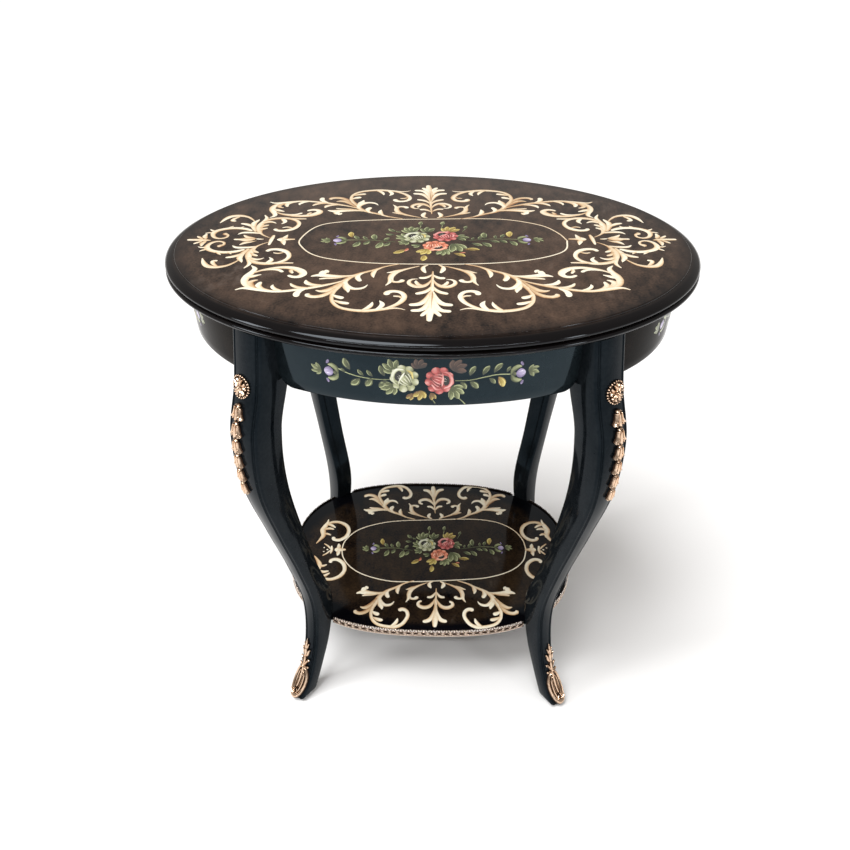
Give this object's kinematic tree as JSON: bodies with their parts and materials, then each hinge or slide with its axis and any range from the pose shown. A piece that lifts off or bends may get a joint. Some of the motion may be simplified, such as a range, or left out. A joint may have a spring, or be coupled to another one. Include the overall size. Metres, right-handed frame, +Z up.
{
  "type": "oval two-tier side table",
  "caption": "Oval side table in black lacquer with painted scrolls and roses, curved legs, a lower shelf and gilt bronze mounts.",
  "frame": {"origin": "on the floor under the middle of the table", "axes": "+X along the long axis of the oval top, +Z up, the front of the table faces -Y"},
  "size_m": [0.66, 0.51, 0.65],
  "materials": {
    "top_lacquer": "black-brown high-gloss lacquer with painted scrolls and roses",
    "shelf_lacquer": "black-brown high-gloss lacquer with painted scrolls and roses",
    "apron_lacquer": "black high-gloss lacquer with painted garlands",
    "leg_lacquer": "black high-gloss lacquer",
    "mount_bronze": "gilt bronze with dark patina in the recesses",
    "trim_bronze": "gilt bronze with dark patina in the recesses",
    "fixing_steel": "zinc plated",
    "glide_steel": "plain nickel plate",
    "bare_wood": "unfinished softwood"
  },
  "bodies": {
    "root": {"apron_back": "apron_lacquer", "apron_front": "apron_lacquer", "apron_left": "apron_lacquer", "apron_right": "apron_lacquer", "corner_block_back_left": "bare_wood", "corner_block_back_right": "bare_wood", "corner_block_front_left": "bare_wood", "corner_block_front_right": "bare_wood", "corner_bolt_back_left": "fixing_steel", "corner_bolt_back_right": "fixing_steel", "corner_bolt_front_left": "fixing_steel", "corner_bolt_front_right": "fixing_steel", "glide_back_left": "glide_steel", "glide_back_right": "glide_steel", "glide_front_left": "glide_steel", "glide_front_right": "glide_steel", "husk_chain_back_left": "mount_bronze", "husk_chain_back_right": "mount_bronze", "husk_chain_front_left": "mount_bronze", "husk_chain_front_right": "mount_bronze", "leg_back_left": "leg_lacquer", "leg_back_right": "leg_lacquer", "leg_front_left": "leg_lacquer", "leg_front_right": "leg_lacquer", "rosette_back_left": "mount_bronze", "rosette_back_right": "mount_bronze", "rosette_front_left": "mount_bronze", "rosette_front_right": "mount_bronze", "sabot_back_left": "mount_bronze", "sabot_back_right": "mount_bronze", "sabot_front_left": "mount_bronze", "sabot_front_right": "mount_bronze", "shelf_board": "shelf_lacquer", "shelf_dowel_back_left": "bare_wood", "shelf_dowel_back_right": "bare_wood", "shelf_dowel_front_left": "bare_wood", "shelf_dowel_front_right": "bare_wood", "shelf_trim_back": "trim_bronze", "shelf_trim_front": "trim_bronze", "shelf_trim_left": "trim_bronze", "shelf_trim_right": "trim_bronze", "top_board": "top_lacquer", "top_screw_back_left": "fixing_steel", "top_screw_back_right": "fixing_steel", "top_screw_front_left": "fixing_steel", "top_screw_front_right": "fixing_steel"}
  },
  "joints": []
}
